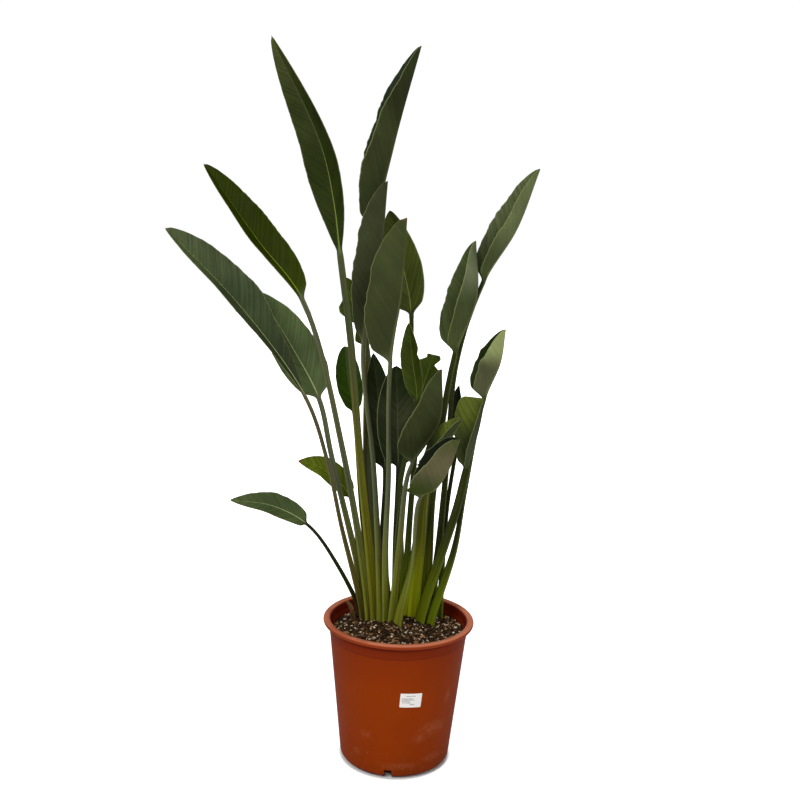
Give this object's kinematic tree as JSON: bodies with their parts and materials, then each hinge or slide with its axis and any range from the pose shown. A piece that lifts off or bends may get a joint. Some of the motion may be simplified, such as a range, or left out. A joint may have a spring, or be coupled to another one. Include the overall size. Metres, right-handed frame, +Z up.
{
  "type": "potted bird of paradise",
  "caption": "Potted bird of paradise: broad folded leaves on long tapering stalks rise in fans from the soil of a tapered round nursery pot with a rolled lip and a plain sticker.",
  "frame": {"origin": "centre of the pot's underside, on its flat middle pad, at floor height", "axes": "+Z up along the pot's axis; -Y to the front, the side with the sticker; +X to the right seen from the front"},
  "size_m": [0.6641, 0.3183, 1.3335],
  "materials": {
    "pot": "matte, scuffed",
    "label": "matte",
    "soil": "rough",
    "root": "matte",
    "leaf": "waxy, satin",
    "sheath": "dry, matte"
  },
  "bodies": {
    "root": {"pot": "pot", "pot_label": "label", "soil": "soil", "crown_left": "root", "crown_back": "root", "crown_right": "root", "leaf_a": "leaf", "leaf_b": "leaf", "leaf_c": "leaf", "leaf_d": "leaf", "leaf_v": "leaf", "sheath": "sheath", "leaf_w": "leaf", "leaf_e": "leaf", "leaf_j": "leaf", "leaf_f": "leaf", "leaf_g": "leaf", "leaf_h": "leaf", "leaf_m": "leaf", "leaf_n": "leaf", "leaf_x": "leaf", "leaf_i": "leaf", "leaf_k": "leaf", "leaf_s": "leaf", "leaf_t": "leaf", "leaf_l": "leaf", "leaf_p": "leaf", "leaf_o": "leaf", "leaf_u": "leaf", "leaf_r": "leaf", "leaf_q": "leaf"}
  },
  "joints": []
}
